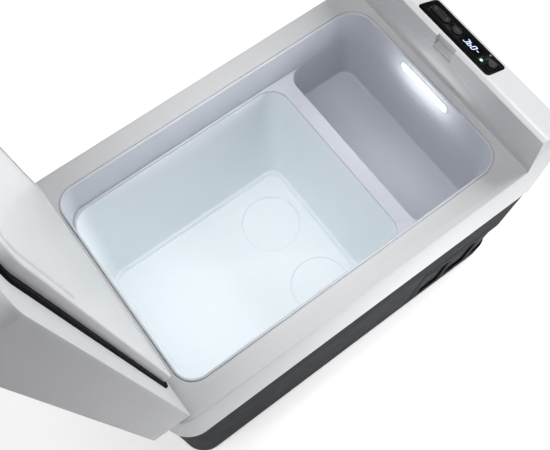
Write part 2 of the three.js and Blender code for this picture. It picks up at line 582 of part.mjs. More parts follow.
add('filter_drier', turned([[0, 60], [3, 60], [9, 66], [9, 110], [3, 118], [0, 118]], 244, -60, 20), copper);
add('suction_pipe', bent([[150, 48, 138.4], [150, 48, 160], [83.9, 48, 160]], 12, 4, 8, 16), copper);
add('discharge_pipe', bent([[208.6, 48, 90], [226, 48, 90], [226, -103.5, 90]], 12, 3, 8, 16), copper);
add('drier_pipe', bent([[244, -60, 59.6], [244, -60, 36], [226, -60, 36], [226, -103.5, 36]],
  9, 2.5, 8, 20), copper);
add('capillary_pipe', bent([[244, -60, 118.4], [244, -60, 142], [83.9, -60, 142]], 12, 1.5, 6, 16), copper);

// ---- power inlet in the control end's wall -----------------------------------------------------
function inletHousing() {
  const { y, z, hy, hz } = INLET;
  const recess = box(307, 318, y - hy + WALL, y + hy - WALL, z - hz + WALL, z + hz - WALL);
  return cut(box(296, 316.5, y - hy, y + hy, z - hz, z + hz), recess);
}
add('inlet_housing', inletHousing(), blackPlastic);
add('dc_inlet', cut(rod([307.4, 78, 150], [312, 78, 150], 9), rod([309, 78, 150], [313, 78, 150], 6)),
  blackPlastic);
add('ac_inlet', cut(box(307.4, 312, 94, 122, 140, 160), box(309, 313, 98, 118, 144, 156)), blackPlastic);

// ---- carrying handles --------------------------------------------------------------------------
[['left', -1], ['right', 1]].forEach(([end, side]) => {
  const x = side * HANDLE.x;
  const low = HANDLE.z - HANDLE.drop;
  const route = [[x, -HANDLE.pivot, HANDLE.z], [x, -HANDLE.leg, HANDLE.z], [x, -HANDLE.leg, low],
    [x, HANDLE.leg, low], [x, HANDLE.leg, HANDLE.z], [x, HANDLE.pivot, HANDLE.z]];
  add(`carry_handle_${end}`, toSolid(bent(route, 9, HANDLE.r, 10, 34)), aluminium);
  const grip = cut(rod([x, -60, low], [x, 60, low], 9.2), rod([x, -61, low], [x, 61, low], 5.9));
  add(`handle_grip_${end}`, grip, rubber);
  [-1, 1].forEach((flank) => {
    const [inner, outer] = [78 * flank, 91 * flank];
    const block = box(Math.min(side * 330.4, side * 349.5), Math.max(side * 330.4, side * 349.5),
      Math.min(inner, outer), Math.max(inner, outer), HANDLE.z - 10, HANDLE.z + 10);
    const socket = rod([x, flank * 83.4, HANDLE.z], [x, flank * 92, HANDLE.z], HANDLE.r + 0.5);
    add(`handle_bracket_${end}_${flank < 0 ? 'near' : 'far'}`, cut(block, socket), slate);
  });
});

export default object;
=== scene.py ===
import math

import bmesh
import bpy
from mathutils import Matrix, Vector
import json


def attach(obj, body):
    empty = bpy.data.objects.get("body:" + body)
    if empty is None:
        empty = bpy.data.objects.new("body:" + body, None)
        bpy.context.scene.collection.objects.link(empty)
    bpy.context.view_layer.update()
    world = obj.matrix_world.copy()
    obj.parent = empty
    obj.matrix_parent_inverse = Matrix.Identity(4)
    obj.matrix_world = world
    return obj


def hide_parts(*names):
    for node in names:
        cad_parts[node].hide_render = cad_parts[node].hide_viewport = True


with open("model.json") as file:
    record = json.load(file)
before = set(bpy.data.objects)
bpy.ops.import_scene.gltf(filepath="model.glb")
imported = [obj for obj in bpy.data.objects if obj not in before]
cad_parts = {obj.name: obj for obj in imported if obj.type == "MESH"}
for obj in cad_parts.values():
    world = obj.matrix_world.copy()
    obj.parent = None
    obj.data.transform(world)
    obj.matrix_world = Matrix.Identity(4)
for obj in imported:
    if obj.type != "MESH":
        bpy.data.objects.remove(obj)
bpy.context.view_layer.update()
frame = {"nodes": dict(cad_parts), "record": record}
MM = 0.001

# ---- dimensions of the case, in millimetres ----------------------------------------------------
# A plan is (x0, x1, half width, corner radius at x0, corner radius at x1).
RIM_Z = 350
SEAM_Z = 227                                 # where the lower and the upper case meet
WALL = 3
CASE = (-330, 330, 190, 40, 40)              # outside of the upper case at the rim
OPEN = (-280.4, 227.3, 153.6, 26, 34)        # the mouth at the rim
LEDGE_Z = 290                                # ledge round the tub
TUB_FLOOR_Z = 52
SIDE_FLOOR_Z = 195                           # floor of the side compartment
POD_WALL_X = 242.7                           # wall of the control end that faces the lid
POD_TOP_Z = 420
PANEL_X = 255.5                              # upper edge of the sloping panel
TILT = math.radians(25)
HINGE = (-311.2, 368)                        # x and z of the lid's axis
LID_OPEN = math.radians(95)
PLUG = (-273, 219, 150, 20, 20)              # plug of the lid, drawn shut
PLUG_Z = 344                                 # its face
HINGE_Y = (-110, 110)
LATCH_Y = 17                                 # half width of the latch's pockets
INLET = (96, 150, 33.4, 17.4)                # y, z, half width and half height of the power inlet
LENS = (-52, 50.5, 322, 342)                 # y0, y1, z0, z1 of the light strip's opening
FOOT_X = {"left": -270, "right": 228}
FOOT_Y = {"near": -130, "far": 130}
FOOT_R = 18

# Places on the panel are (s, y): s runs down the slope from its upper edge.
PANEL = (0.8, 45, 69.5, 6, 6)
ROCKER, ROCKER_Y = (17, 33, 17.5, 8, 8), 44
MENU_KEY = (24.5, 11, 8)                     # s, y, radius
POWER_KEY = (26.7, -56.4, 7.5)
LAMP = (17.3, -44, 2)
WINDOW = (14, 36, 17)                        # s0, s1, half width
WINDOW_Y = -19


# ---- camera ------------------------------------------------------------------------------------
def make_camera():
    """The photo's camera: its angles in radians, its place in millimetres."""
    azimuth, elevation, roll = -0.6346869, 1.1903533, -0.0070293
    place = Vector((-305, -366.34, 1336.24))
    back = Vector((math.sin(azimuth) * math.cos(elevation),
                   -math.cos(azimuth) * math.cos(elevation), math.sin(elevation)))
    right = (-back).cross(Vector((0, 0, 1))).normalized()
    up = right.cross(-back)
    right, up = (math.cos(roll) * right + math.sin(roll) * up,
                 math.cos(roll) * up - math.sin(roll) * right)
    data = bpy.data.cameras.new("camera")
    data.sensor_width = 36
    data.lens = 53.778
    camera = bpy.data.objects.new("camera", data)
    bpy.context.scene.collection.objects.link(camera)
    turn = Matrix((right, up, back)).transposed().to_4x4()
    camera.matrix_world = Matrix.Translation(place * MM) @ turn
    bpy.context.scene.camera = camera


make_camera()


# ---- materials ---------------------------------------------------------------------------------
def tree_of(name):
    """A new material, its node tree and its shader."""
    material = bpy.data.materials.new(name)
    material.use_nodes = True
    tree = material.node_tree
    return material, tree, tree.nodes["Principled BSDF"]


def noise(tree, scale, detail=3.0):
    """Noise over the object's own coordinates."""
    place = tree.nodes.new("ShaderNodeTexCoord")
    node = tree.nodes.new("ShaderNodeTexNoise")
    node.inputs["Scale"].default_value = scale
    node.inputs["Detail"].default_value = detail
    node.inputs["Roughness"].default_value = 0.55
    tree.links.new(place.outputs["Object"], node.inputs["Vector"])
    return node.outputs["Fac"]


def spread(tree, value, low, high):
    """Maps the usual range of a noise to low ... high."""
    node = tree.nodes.new("ShaderNodeMapRange")
    node.inputs["From Min"].default_value = 0.2
    node.inputs["From Max"].default_value = 0.8
    node.inputs["To Min"].default_value = low
    node.inputs["To Max"].default_value = high
    tree.links.new(value, node.inputs["Value"])
    return node.outputs["Result"]


def varied_color(tree, shader, color, scale, amount):
    """Slow, faint variation of a colour over the surface."""
    node = tree.nodes.new("ShaderNodeMix")
    node.data_type = "RGBA"
    node.inputs["A"].default_value = (*[c * (1 - amount) for c in color], 1)
    node.inputs["B"].default_value = (*[min(1, c * (1 + amount)) for c in color], 1)
    tree.links.new(noise(tree, scale), node.inputs["Factor"])
    tree.links.new(node.outputs["Result"], shader.inputs["Base Color"])


def bump(tree, shader, heights, strength, distance):
    """heights are socket outputs, added together before the bump node."""
    total = heights[0]
    for height in heights[1:]:
        node = tree.nodes.new("ShaderNodeMath")
        tree.links.new(total, node.inputs[0])
        tree.links.new(height, node.inputs[1])
        total = node.outputs[0]
    node = tree.nodes.new("ShaderNodeBump")
    node.inputs["Strength"].default_value = strength
    node.inputs["Distance"].default_value = distance
    tree.links.new(total, node.inputs["Height"])
    tree.links.new(node.outputs["Normal"], shader.inputs["Normal"])


def plastic(name, color, rough, grain=900, depth=0.00006, strength=0.35, vary=0.03, rough_vary=0.05,
            specular=0.5):
    """Moulded plastic: fine spark-eroded grain, slow flow marks and a little unevenness in gloss."""
    material, tree, shader = tree_of(name)
    varied_color(tree, shader, color, 9, vary)
    wear = spread(tree, noise(tree, 45, 5), rough - rough_vary, rough + rough_vary)
    tree.links.new(wear, shader.inputs["Roughness"])
    shader.inputs["Specular IOR Level"].default_value = specular
    bump(tree, shader, [noise(tree, grain, 2), noise(tree, grain * 0.37, 1)], strength, depth)
    return material


def metal(name, color, rough, grain=(400, 30, 400)):
    """Metal with fine directional drawing marks, which run along the axis of the smallest grain."""
    material, tree, shader = tree_of(name)
    varied_color(tree, shader, color, 14, 0.06)
    place = tree.nodes.new("ShaderNodeTexCoord")
    stretch = tree.nodes.new("ShaderNodeMapping")
    stretch.inputs["Scale"].default_value = grain
    lines = tree.nodes.new("ShaderNodeTexNoise")
    lines.inputs["Scale"].default_value = 1
    lines.inputs["Detail"].default_value = 4
    tree.links.new(place.outputs["Object"], stretch.inputs["Vector"])
    tree.links.new(stretch.outputs["Vector"], lines.inputs["Vector"])
    tree.links.new(spread(tree, lines.outputs["Fac"], rough - 0.08, rough + 0.08),
                   shader.inputs["Roughness"])
    shader.inputs["Metallic"].default_value = 1
    bump(tree, shader, [lines.outputs["Fac"]], 0.3, 0.00003)
    return material


def rubbery(name, color, rough=0.8, specular=0.3):
    """Matt rubber or soft foam with a dusty, fine-pored skin."""
    material, tree, shader = tree_of(name)
    varied_color(tree, shader, color, 30, 0.15)
    tree.links.new(spread(tree, noise(tree, 120), rough - 0.1, rough + 0.08),
                   shader.inputs["Roughness"])
    shader.inputs["Specular IOR Level"].default_value = specular
    bump(tree, shader, [noise(tree, 1500, 2), noise(tree, 260, 2)], 0.4, 0.0001)
    return material


def foam(name, color):
    """Rigid foam: closed cells of one or two millimetres."""
    material, tree, shader = tree_of(name)
    varied_color(tree, shader, color, 25, 0.12)
    place = tree.nodes.new("ShaderNodeTexCoord")
    cells = tree.nodes.new("ShaderNodeTexVoronoi")
    cells.inputs["Scale"].default_value = 600
    tree.links.new(place.outputs["Object"], cells.inputs["Vector"])
    tree.links.new(spread(tree, noise(tree, 80), 0.85, 0.98), shader.inputs["Roughness"])
    bump(tree, shader, [cells.outputs["Distance"]], 0.6, 0.0006)
    return material


def board(name, color):
    """Printed circuit board: solder resist over tracks that run in two directions."""
    material, tree, shader = tree_of(name)
    place = tree.nodes.new("ShaderNodeTexCoord")
    tracks = tree.nodes.new("ShaderNodeTexBrick")
    tracks.inputs["Scale"].default_value = 220
    tracks.inputs["Mortar Size"].default_value = 0.03
    tracks.inputs["Color1"].default_value = (*color, 1)
    tracks.inputs["Color2"].default_value = (*[c * 1.25 for c in color], 1)
    tracks.inputs["Mortar"].default_value = (*[c * 2.2 for c in color], 1)
    tree.links.new(place.outputs["Object"], tracks.inputs["Vector"])
    tree.links.new(tracks.outputs["Color"], shader.inputs["Base Color"])
    tree.links.new(spread(tree, noise(tree, 200), 0.3, 0.5), shader.inputs["Roughness"])
    bump(tree, shader, [tracks.outputs["Fac"]], 0.4, 0.0001)
    return material


def lit(name, color, glow, strength):
    """A translucent lens lit from behind, faintly uneven."""
    material, tree, shader = tree_of(name)
    varied_color(tree, shader, color, 60, 0.03)
    tree.links.new(spread(tree, noise(tree, 300), 0.25, 0.35), shader.inputs["Roughness"])
    shader.inputs["Emission Color"].default_value = (*glow, 1)
    shader.inputs["Emission Strength"].default_value = strength
    bump(tree, shader, [noise(tree, 900, 2)], 0.2, 0.00004)
    return material


LIGHT_GREY = (0.60, 0.605, 0.62)
M = {
    "upper_case": plastic("upper_case_plastic", LIGHT_GREY, 0.42),
    "lower_case": plastic("lower_case_plastic", (0.0105, 0.0120, 0.0160), 0.55, 700, 0.0001, 0.5, 0.08,
                          specular=0.03),
    "collar": plastic("collar_plastic", (0.59, 0.61, 0.665), 0.45),
    "tub": plastic("tub_plastic", (0.86, 0.91, 0.935), 0.40, 500, 0.00002, 0.15, 0.008, 0.01, 0.3),
    "panel_gloss": plastic("panel_gloss", (0.0035, 0.0035, 0.004), 0.22, 1200, 0.00001, 0.1, 0.1, 0.04,
                           specular=0.08),
    "glass": plastic("window_gloss", (0.003, 0.003, 0.004), 0.10, 1500, 0.000004, 0.1, 0.1, 0.02,
                     specular=0.15),
    "button": plastic("button_plastic", (0.008, 0.008, 0.009), 0.36, 1100, 0.00005, 0.3, 0.08,
                      specular=0.3),
    "button_mark": plastic("button_mark", (0.16, 0.16, 0.17), 0.5, 1500, 0.00003),
    "dim_mark": plastic("dim_mark", (0.07, 0.07, 0.075), 0.5, 1500, 0.00003),
    "black_plastic": plastic("black_plastic", (0.016, 0.016, 0.018), 0.5, 800, 0.0001, 0.5, 0.1),
    "rubber": rubbery("rubber", (0.018, 0.018, 0.019)),
    "gasket": rubbery("gasket_rubber", (0.008, 0.009, 0.011), 0.75, 0.03),
    "grip": rubbery("grip_foam", (0.022, 0.022, 0.024), 0.85),
    "foam": foam("rigid_foam", (0.72, 0.62, 0.36)),
    "steel": metal("plated_steel", (0.52, 0.53, 0.54), 0.32),
    "aluminium": metal("satin_aluminium", (0.66, 0.67, 0.69), 0.36, (300, 20, 300)),
    "copper": metal("drawn_copper", (0.62, 0.30, 0.17), 0.30, (250, 250, 40)),
    "compressor_black": plastic("black_enamel", (0.010, 0.010, 0.011), 0.28, 300, 0.0002, 0.2, 0.1),
    "board": board("circuit_board", (0.012, 0.11, 0.05)),
    "lens": lit("lamp_lens", (0.9, 0.93, 0.95), (0.93, 0.97, 1.0), 2.6),
    "lens_rim": plastic("lens_rim", (0.62, 0.74, 0.71), 0.22, 900, 0.00003, 0.2, 0.03),
    "digits": lit("digit_segments", (0.5, 0.55, 0.8), (0.55, 0.66, 1.0), 1.35),
    "led": lit("status_light", (0.6, 0.9, 0.75), (0.72, 1.0, 0.86), 1.8),
    "lid_light": plastic("lid_plastic", LIGHT_GREY, 0.42),
    "liner": plastic("liner_plastic", (0.68, 0.685, 0.69), 0.38, 700, 0.00005, 0.3, 0.02),
}


def painted_glow_material():
    """Painted glow: a faint green emitting ring that stands for the light the status lamp leaves on the
    gloss around it.
    """
    material, tree, shader = tree_of("painted_lamp_glow")
    varied_color(tree, shader, (0.006, 0.007, 0.007), 60, 0.1)
    tree.links.new(spread(tree, noise(tree, 200), 0.14, 0.22), shader.inputs["Roughness"])
    shader.inputs["Emission Color"].default_value = (0.03, 0.30, 0.10, 1)
    shader.inputs["Emission Strength"].default_value = 0.35
    return material


M["halo"] = painted_glow_material()


# ---- mesh tools --------------------------------------------------------------------------------
def grow(plan, by):
    """A plan made larger all round, or smaller when by is negative."""
    x0, x1, hy, r0, r1 = plan
    return (x0 - by, x1 + by, hy + by, max(0.6, r0 + by), max(0.6, r1 + by))


def blend(a, b, t):
    """The plan that lies the share t of the way from plan a to plan b."""
    return tuple(p + (q - p) * t for p, q in zip(a, b))


def ring_between(rings, z):
    """The plan at height z of a body that is given by (plan, z) rings."""
    for (a, za), (b, zb) in zip(rings, rings[1:]):
        if za <= z <= zb:
            return blend(a, b, (z - za) / (zb - za))
    return rings[-1][0]


def angles(steps):
    """Angles from 0 to 90 degrees in equal steps, in radians."""
    return [k / steps * math.pi / 2 for k in range(steps + 1)]


def quarter(r, z_top, steps=5):
    """(inset, z) points of a quarter round that ends on a top face."""
    return [(r - r * math.cos(t), z_top - r + r * math.sin(t)) for t in angles(steps)]


def outline(plan, steps):
    """Corner points of a rectangle with rounded corners, anticlockwise from (+X, +Y)."""
    x0, x1, hy, r0, r1 = plan
    corners = ((x1 - r1, hy - r1, r1), (x0 + r0, hy - r0, r0),
               (x0 + r0, r0 - hy, r0), (x1 - r1, r1 - hy, r1))
    points = []
    for turn, (cx, cy, r) in enumerate(corners):
        for k in range(steps + 1):
            angle = (turn + k / steps) * math.pi / 2
            points.append((cx + r * math.cos(angle), cy + r * math.sin(angle)))
    return points


def loft(rings, steps, wrap=False):
    """(vertices, faces) of a closed body skinned over (plan, z) rings. With wrap, the last ring
    joins the first, which makes a closed ring-shaped body."""
    loops = [[(x, y, z) for x, y in outline(plan, steps)] for plan, z in rings]
    n = len(loops[0])
    verts = [p for loop in loops for p in loop]
    faces = []
    for k in range(len(loops) - (0 if wrap else 1)):
        a, b = k * n, (k + 1) % len(loops) * n
        faces += [(a + i, a + (i + 1) % n, b + (i + 1) % n, b + i) for i in range(n)]
    if not wrap:
        faces.append(tuple(reversed(range(n))))
        faces.append(tuple(range(len(verts) - n, len(verts))))
    return verts, faces


def slab(points, low, high, place):
    """A closed body between two copies of an outline. place() puts an outline point at a level."""
    n = len(points)
    verts = [place(a, b, low) for a, b in points] + [place(a, b, high) for a, b in points]
    faces = [(i, (i + 1) % n, n + (i + 1) % n, n + i) for i in range(n)]
    return verts, faces + [tuple(reversed(range(n))), tuple(range(n, 2 * n))]


def prism(points, y0, y1):
    """A profile of (x, z) points carried along Y."""
    return slab(points, y0, y1, lambda x, z, y: (x, y, z))


def across(points, x0, x1):
    """A profile of (y, z) points carried along X."""
    return moved(prism(points, -x1, -x0), Matrix.Rotation(math.pi / 2, 4, "Z"))


def rectangle(a0, a1, b0, b1):
    return [(a0, b0), (a1, b0), (a1, b1), (a0, b1)]


def box(x0, x1, y0, y1, z0, z1):
    return prism(rectangle(x0, x1, z0, z1), y0, y1)


def revolve(profile, sides):
    """A turned body about Z from (radius, z) points that start and end on the axis."""
    verts, faces, rows = [], [], []
    for r, z in profile:
        if r < 1e-6:
            rows.append([len(verts)])
            verts.append((0, 0, z))
            continue
        rows.append(list(range(len(verts), len(verts) + sides)))
        verts += [(r * math.cos(2 * math.pi * k / sides), r * math.sin(2 * math.pi * k / sides), z)
                  for k in range(sides)]
    for low, high in zip(rows, rows[1:]):
        for k in range(sides):
            j = (k + 1) % sides
            corners = [low[k % len(low)], low[j % len(low)], high[j % len(high)], high[k % len(high)]]
            kept = tuple(dict.fromkeys(corners))
            if len(kept) > 2:
                faces.append(kept)
    return verts, faces


def rounded(points, radii, steps):
    """A run of points with each corner cut to a curve of about its radius."""
    out = []
    n = len(points)
    for i, (x, z) in enumerate(points):
        r = radii[i]
        if r <= 0:
            out.append((x, z))
            continue
        here = Vector((x, z))
        before = (Vector(points[i - 1]) - here).normalized()
        after = (Vector(points[(i + 1) % n]) - here).normalized()
        bend = before.angle(after)
        reach = r / math.tan(bend / 2)
        a, b = here + before * reach, here + after * reach
        for k in range(steps + 1):
            t = k / steps
            p = (1 - t) ** 2 * a + 2 * t * (1 - t) * here + t ** 2 * b
            out.append((p.x, p.y))
    return out


def moved(data, matrix):
    """A body's (vertices, faces) turned or shifted by a matrix in millimetres."""
    verts, faces = data
    return [tuple(matrix @ Vector(v)) for v in verts], faces


def shifted(data, x, y, z):
    return moved(data, Matrix.Translation((x, y, z)))


def merged(*parts):
    """Several bodies as one mesh, side by side."""
    verts, faces = [], []
    for part_verts, part_faces in parts:
        start = len(verts)
        verts += part_verts
        faces += [tuple(start + i for i in face) for face in part_faces]
    return verts, faces


def piece(name, data):
    """A mesh object in metres from millimetre data, with outward faces."""
    mesh = bpy.data.meshes.new(name)
    mesh.from_pydata([tuple(c * MM for c in v) for v in data[0]], [], data[1])
    ob = bpy.data.objects.new(name, mesh)
    bpy.context.scene.collection.objects.link(ob)
    tidy(ob)
    return ob


def taken(ob):
    """The millimetre data of a mesh object, which is removed."""
    data = ([tuple(v.co / MM) for v in ob.data.vertices], [tuple(p.vertices) for p in ob.data.polygons])
    bpy.data.objects.remove(ob)
    return data


def move_mesh(ob, turn):
    """Moves a mesh by a matrix whose shift is in millimetres."""
    turn = turn.copy()
    turn.translation *= MM
    ob.data.transform(turn)


def tidy(ob):
    """Merges doubled points, drops empty faces and turns every face outwards."""
    work = bmesh.new()
    work.from_mesh(ob.data)
    bmesh.ops.remove_doubles(work, verts=work.verts, dist=2e-6)
    bmesh.ops.dissolve_degenerate(work, edges=work.edges, dist=1e-6)
    bmesh.ops.recalc_face_normals(work, faces=work.faces)
    work.to_mesh(ob.data)
    work.free()


def smooth(ob, sharp):
    """Shades a mesh smooth, apart from edges that turn by more than sharp degrees."""
    work = bmesh.new()
    work.from_mesh(ob.data)
    limit = math.radians(sharp)
    for face in work.faces:
        face.smooth = True
    for edge in work.edges:
        edge.smooth = len(edge.link_faces) == 2 and edge.calc_face_angle(0) < limit
    work.to_mesh(ob.data)
    work.free()


def baked(ob):
    """Applies the object's modifiers."""
    graph = bpy.context.evaluated_depsgraph_get()
    mesh = bpy.data.meshes.new_from_object(ob.evaluated_get(graph))
    ob.modifiers.clear()
    ob.data = mesh


def combine(ob, operation, *tools):
    """Joins, cuts or intersects closed bodies."""
    for data in tools:
        tool = piece("tool", data)
        step = ob.modifiers.new("step", "BOOLEAN")
        step.operation = operation
        step.solver = "MANIFOLD"
        step.object = tool
        baked(ob)
        bpy.data.objects.remove(tool)
    tidy(ob)


def cut(ob, *tools):
    combine(ob, "DIFFERENCE", *tools)


def join(ob, *tools):
    combine(ob, "UNION", *tools)


def bevel(ob, width, segments, angle, inside=lambda x, y, z: True):
    """Rounds the edges that turn by more than the angle and whose two ends, in millimetres, are
    inside()."""
    work = bmesh.new()
    work.from_mesh(ob.data)
    limit = math.radians(angle)
    chosen = [edge for edge in work.edges
              if len(edge.link_faces) == 2 and edge.calc_face_angle(0) > limit
              and all(inside(*(v.co / MM)) for v in edge.verts)]
    if chosen:
        bmesh.ops.bevel(work, geom=chosen, offset=width * MM, segments=segments, profile=0.5,
                        affect="EDGES", clamp_overlap=True, miter_outer="ARC", spread=width * MM * 0.3)
    work.to_mesh(ob.data)
    work.free()


def done(ob, body, slot, nodes=(), material=None, sharp=32):
    """Gives a finished piece its material (its slot's, unless another is named), smooth shading and its
    body, and hides the CAD nodes it stands for.
    """
    ob.data.materials.clear()
    ob.data.materials.append(M[material or slot])
    smooth(ob, sharp)
    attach(ob, body)
    if nodes:
        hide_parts(*nodes)


def cylinder(x, y, z0, z1, r):
    """A round body about an upright axis."""
    return shifted(revolve([(0, z0), (r, z0), (r, z1), (0, z1)], 40), x, y, 0)


# ---- lower case --------------------------------------------------------------------------------
LOWER = [
    ((-317, 276, 179, 32, 32), 0), ((-322, 283, 184, 36, 36), 6), ((-324, 305, 185, 37, 37), 90),
    ((-327, 321, 187, 38, 38), 200), ((-327.5, 323.5, 187.5, 38, 38), SEAM_Z - 0.6),
]
BAY = [(128, 104), (119, 28), (163, 28), (172, 104)]         # (x, z) corners of the first vent bay
BAY_PITCH, BAY_COUNT = 57, 3
SCORE = [(112.6, 150), (97, 20), (98.6, 20), (114.2, 150)]   # fine line scored beside the bays


def lower_case():
    """The dark shell, with vent bays on both long sides, the inlet's opening and seats for the feet."""
    foot, foot_z = LOWER[0][0], LOWER[1][1]
    top, top_z = LOWER[-1]
    outer = [(grow(foot, -4), 0)]
    steps = 6
    for k, t in enumerate(angles(steps)[1:], 1):
        plan = blend(foot, LOWER[1][0], math.sin(t))
        outer.append((grow(plan, -1.2 * (1 - k / steps)), foot_z * (1 - math.cos(t))))
    outer += [(ring_between(LOWER, z), z) for z in (30, 60, 90, 118, 145, 172, 200)]
    outer += [(top, top_z - 1), (grow(top, -1), top_z)]
    inner = [(grow(top, -WALL), top_z)]
    inner += [(grow(ring_between(LOWER, z), -WALL), z) for z in (200, 145, 90, 30, 6)]
    shell = piece("lower_case_skin", loft(outer + inner, 14))
    for side in (-1, 1):
        cut(shell, prism(SCORE, *sorted((side * 184, side * 195))))
        for index in range(BAY_COUNT):
            bay = [(x + BAY_PITCH * index, z) for x, z in BAY]
            cut(shell, prism(rounded(bay, [3.5] * 4, 5), *sorted((side * 174, side * 195))))
    y, z, half_width, half_height = INLET
    inlet = rectangle(y - half_width, y + half_width, z - half_height, z + half_height)
    cut(shell, across(rounded(inlet, [4] * 4, 5), 290, 330))
    for x in FOOT_X.values():
        for y in FOOT_Y.values():
            cut(shell, cylinder(x, y, -1, 2.4, FOOT_R + 0.4))
    bevel(shell, 0.7, 2, 40, lambda x, y, z: 20 < z < 160)
    done(shell, "cabinet", "lower_case", ["lower_casing"])


# ---- upper case with its raised control end ----------------------------------------------------
UPPER = [((-330, 327, 190, 40, 40), SEAM_Z), ((-330, 329.5, 190, 40, 40), 300), (CASE, 344), (CASE, RIM_Z)]


def on_panel():
    """Turns a body drawn on the panel (x down the slope, z out of it) to its place."""
    return Matrix.Translation((PANEL_X, 0, POD_TOP_Z)) @ Matrix.Rotation(TILT, 4, "Y")


def place_on_panel(ob, s=0, y=0):
    """Moves a body drawn about the point (s, y) of the panel to its place."""
    move_mesh(ob, on_panel() @ Matrix.Translation((s, y, 0)))


def panel_holes(play, z0, z1):
    """Stems of the rocker, the two keys and the lamp, grown by the play all round."""
    pill = grow(ROCKER, play)
    holes = [shifted(loft([(pill, z0), (pill, z1)], 12), 0, ROCKER_Y, 0)]
    for s, y, r in (MENU_KEY, POWER_KEY, LAMP):
        holes.append(cylinder(s, y, z0, z1, r + play))
    return holes


def upper_shell():
    """The light band and the rim, which turns in to a shallow groove beside the bead."""
    foot, (waist, waist_z) = UPPER[0][0], UPPER[1]
    under = 345.5
    rings = [(grow(foot, -WALL), SEAM_Z + 0.8), (grow(foot, -0.8), SEAM_Z), (foot, SEAM_Z + 0.8)]
    rings += [(ring_between(UPPER, 262), 262), (waist, waist_z)]
    rings += [(grow(CASE, -inset), z) for inset, z in quarter(1.6, RIM_Z)]
    groove = ((7, RIM_Z), (4.9, RIM_Z), (4.6, RIM_Z - 0.4), (4.4, 348.5), (3.7, 348.3), (3.7, under))
    rings += [(grow(OPEN, by), z) for by, z in groove]
    rings += [(grow(CASE, -WALL), under), (grow(waist, -WALL), waist_z)]
    return piece("upper_case_skin", loft(rings, 16, wrap=True))


def pod():
    """The raised control end: a profile carried along Y and trimmed to the case's outline."""
    slope = lambda x: POD_TOP_Z - (x - PANEL_X) * math.tan(TILT)
    profile = [(POD_WALL_X, 340), (POD_WALL_X, 352), (245.3, POD_TOP_Z), (PANEL_X, POD_TOP_Z),
               (301, slope(301)), (322, 360), (328.6, 348), (328.6, 340)]
    profile = rounded(profile, [0, 0, 1.6, 14, 4.5, 30, 8, 0], 7)
    ob = piece("pod", prism(profile, -195, 195))
    trim = [(CASE, 338), ((-330, 329, 189.6, 40, 40), 352), ((-330, 308, 186.6, 30, 38), 400),
            ((-330, 301, 184.6, 30, 37), 424)]
    combine(ob, "INTERSECT", loft(trim, 16))
    bevel(ob, 4.5, 5, 50, lambda x, y, z: z > 358)
    bevel(ob, 4.5, 5, 50, lambda x, y, z: z > 345 and abs(y) > 175 and x < 300)
    return taken(ob)


def cove():
    """The rounded inside corner where the control end rises out of the rim."""
    r, x, sink = 2.5, POD_WALL_X + 0.8, 0.2
    curve = [(POD_WALL_X - r + r * math.sin(t), RIM_Z + r - r * math.cos(t)) for t in reversed(angles(5))]
    return prism([(POD_WALL_X - r, RIM_Z - sink), (x, RIM_Z - sink), (x, RIM_Z + r)] + curve, -186, 186)


def upper_case():
    """The light shell with its control end, latch pocket, catch slot and the panel's seat."""
    shell = upper_shell()
    join(shell, pod(), cove())
    pocket = prism([(236, 402.9), (253.5, 400.2), (249.4, 424), (236, 424)], -LATCH_Y, LATCH_Y)
    slot = prism([(236, 394.3), (252.4, 394.3), (252.4, 397.6), (236, 400.4)], -LATCH_Y, LATCH_Y)
    seat_plan = grow(PANEL, 0.35)
    seat = moved(loft([(seat_plan, -2.4), (seat_plan, 6)], 10), on_panel())
    stems = [moved(hole, on_panel()) for hole in panel_holes(0.4, -7, 1)]
    cut(shell, pocket, slot, seat, *stems)
    bevel(shell, 0.4, 2, 40,
          lambda x, y, z: 241 < x < 256 and abs(y) < LATCH_Y + 1 and 393 < z < 421.5)
    done(shell, "cabinet", "upper_case", ["upper_casing"])


# ---- inner frame: bead, collar, ledge, divider and side compartment ----------------------------
SIDE = [((97, 223, 151.7, 20, 22), SIDE_FLOOR_Z), ((100, 225.6, 152.6, 26, 30), LEDGE_Z),
        ((100, OPEN[1], OPEN[2], 26, 34), 347.1)]            # side compartment, from its floor up
WALL_FOOT = (-279.9, 225.6, 152.6, 25, 30)               # collar at the ledge
TUB_HOLE = (-279.5, 78, 149, 30, 30)


def bead():
    """The rounded edge that stands round the mouth."""
    r, top, outer_r, outer_top, foot = 2, 348.8, 1.4, 349.4, 343
    rings = [(OPEN, foot), (OPEN, top)]
    rings += [(grow(OPEN, r - r * math.cos(t)), top + r * math.sin(t)) for t in angles(5)[1:]]
    rings += [(grow(OPEN, 3.6 - outer_r * (1 - math.sin(t))), outer_top + outer_r * math.cos(t))
              for t in angles(5)]
    return loft(rings + [(grow(OPEN, 3.6), foot)], 16, wrap=True)


def lens_outline(inset_y, inset_low, inset_high, r):
    """(y, z) points of the light strip's opening, inset by so much at its ends, below and above."""
    y0, y1, z0, z1 = LENS
    return rounded(rectangle(y0 + inset_y, y1 - inset_y, z0 + inset_low, z1 - inset_high), [r] * 4, 9)


